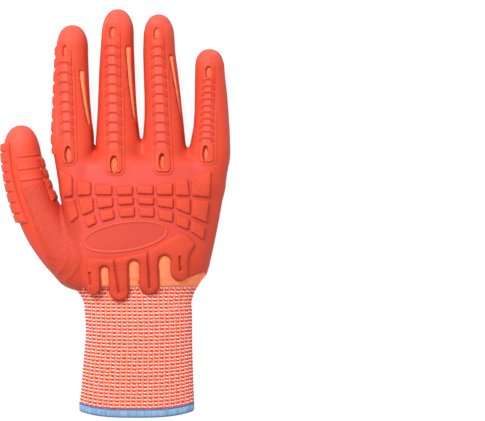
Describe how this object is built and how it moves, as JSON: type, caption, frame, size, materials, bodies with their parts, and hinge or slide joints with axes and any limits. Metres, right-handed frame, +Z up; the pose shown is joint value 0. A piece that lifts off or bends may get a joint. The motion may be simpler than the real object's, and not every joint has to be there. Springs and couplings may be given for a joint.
{
  "type": "impact glove",
  "caption": "Right-hand dipped work glove with ribbed finger guards, knuckle blocks, a toothed wrist guard, palm pads and a ribbed knit cuff.",
  "frame": {"origin": "middle of the glove's box, on the surface it lies on", "axes": "+X towards the little finger's side, +Y towards the fingertips, +Z up, out of the back of the hand"},
  "size_m": [0.1458, 0.2612, 0.0406],
  "materials": {
    "hand_knit": "fine knitted liner, light orange",
    "cuff_knit": "ribbed knit, orange and white yarn",
    "hem_thread": "overlocked thread, light blue",
    "dipped_rubber": "dipped rubber, satin, orange red",
    "guard_rubber": "moulded rubber with a fine stipple, orange red",
    "pad_rubber": "moulded rubber with a leather-like grain, orange red"
  },
  "bodies": {
    "root": {"knit_hand": "hand_knit", "knit_cuff": "cuff_knit", "cuff_hem": "hem_thread", "rubber_shell": "dipped_rubber", "finger_guard_index": "guard_rubber", "finger_guard_middle": "guard_rubber", "finger_guard_ring": "guard_rubber", "finger_guard_little": "guard_rubber", "thumb_guard": "guard_rubber", "thumb_web_guard": "guard_rubber", "index_side_guard": "guard_rubber", "thumb_bar_tip": "guard_rubber", "thumb_bar_middle": "guard_rubber", "thumb_bar_low": "guard_rubber", "thumb_panel": "guard_rubber", "knuckle_guard": "guard_rubber", "badge_frame": "guard_rubber", "wrist_comb": "guard_rubber", "index_pad_1": "pad_rubber", "index_pad_2": "pad_rubber", "index_pad_3": "pad_rubber", "middle_pad_1": "pad_rubber", "middle_pad_2": "pad_rubber", "middle_pad_3": "pad_rubber", "ring_pad_1": "pad_rubber", "ring_pad_2": "pad_rubber", "ring_pad_3": "pad_rubber", "little_pad_1": "pad_rubber", "little_pad_2": "pad_rubber", "little_pad_3": "pad_rubber", "thumb_pad_1": "pad_rubber", "thumb_pad_2": "pad_rubber", "finger_field": "pad_rubber", "crossing_field": "pad_rubber", "heel_field": "pad_rubber"}
  },
  "joints": []
}
